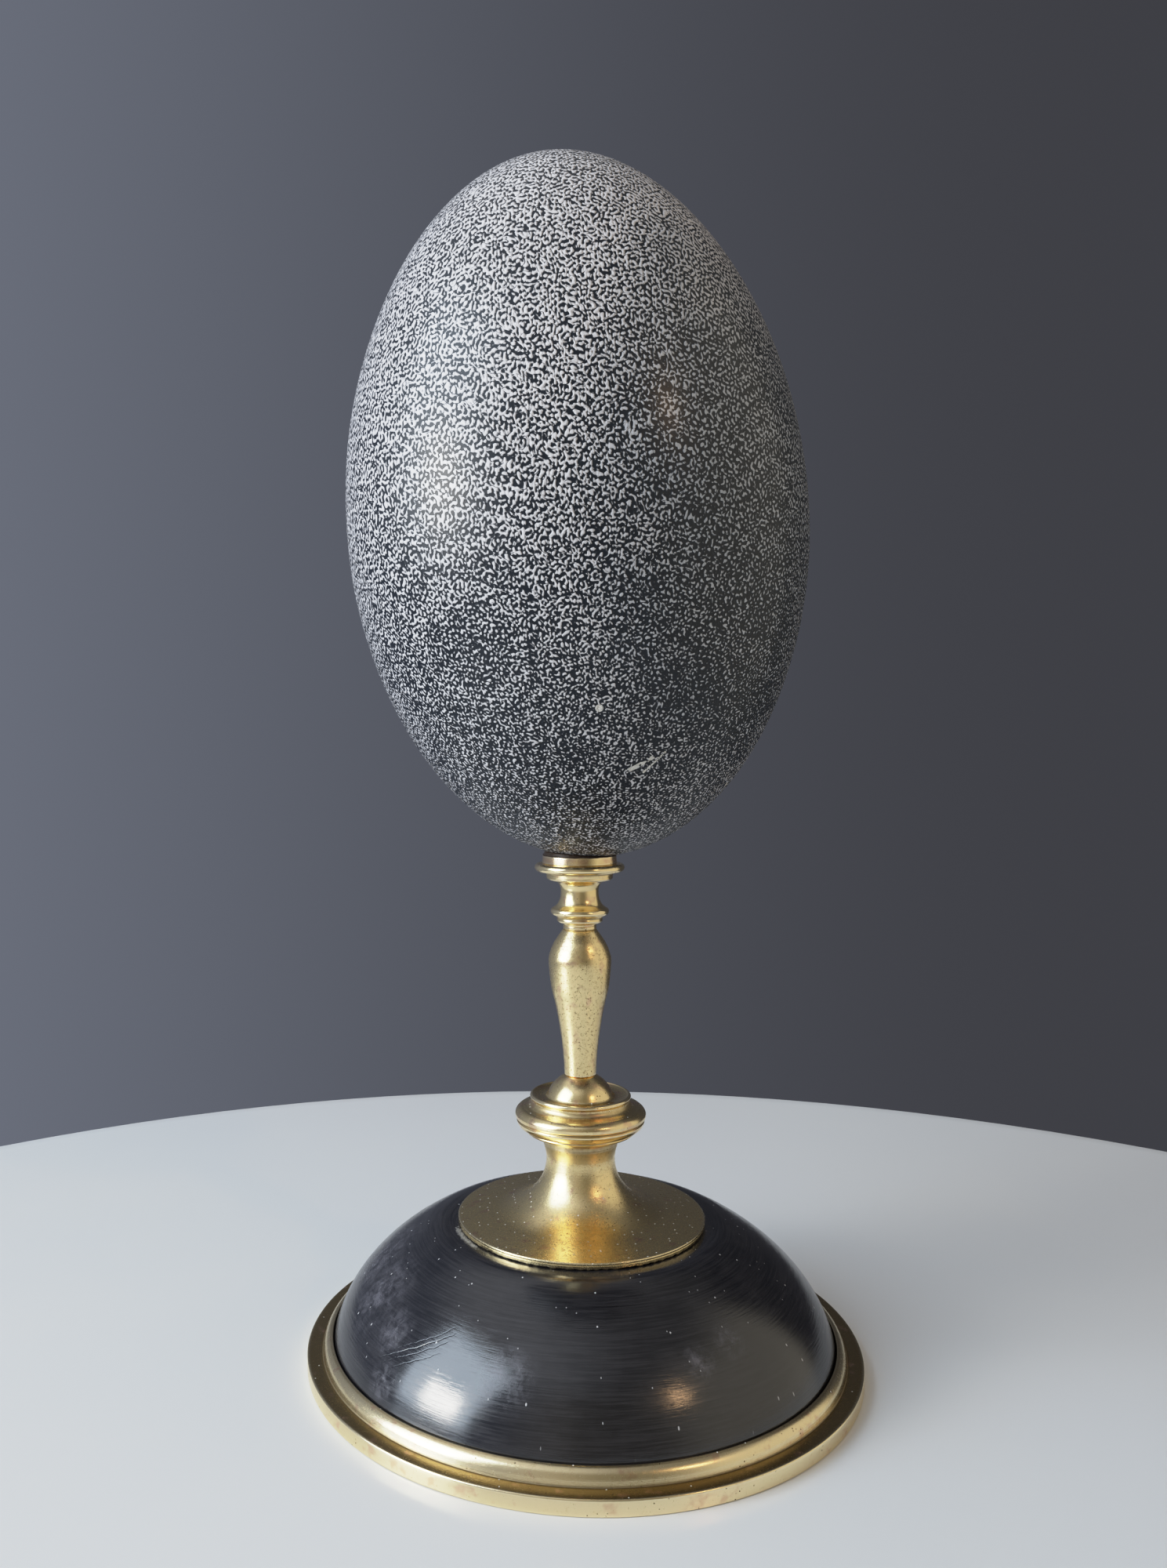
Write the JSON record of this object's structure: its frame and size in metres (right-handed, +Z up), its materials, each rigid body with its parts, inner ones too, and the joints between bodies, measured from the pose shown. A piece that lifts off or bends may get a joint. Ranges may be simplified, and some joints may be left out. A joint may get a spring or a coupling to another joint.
{
  "type": "emu egg on stand",
  "caption": "Large dark mottled egg set at a slight lean on a slim turned brass stem, over a domed black wooden plinth in a round brass base plate.",
  "frame": {"origin": "on the floor, at the middle of the base plate's underside", "axes": "+Z up along the stem; the camera of the picture looks along +Y, and the egg's top leans towards -X"},
  "size_m": [0.109, 0.109, 0.2336],
  "materials": {
    "dark_eggshell": "satin",
    "dark_mastic": "satin",
    "rosy_brass": "satin",
    "aged_brass": "satin",
    "ebonised_wood": "satin"
  },
  "bodies": {
    "root": {"egg": "dark_eggshell", "seat": "dark_mastic", "egg_cup": "rosy_brass", "collar": "aged_brass", "baluster": "aged_brass", "knop": "aged_brass", "trumpet_foot": "aged_brass", "plinth": "ebonised_wood", "base_plate": "aged_brass"}
  },
  "joints": []
}
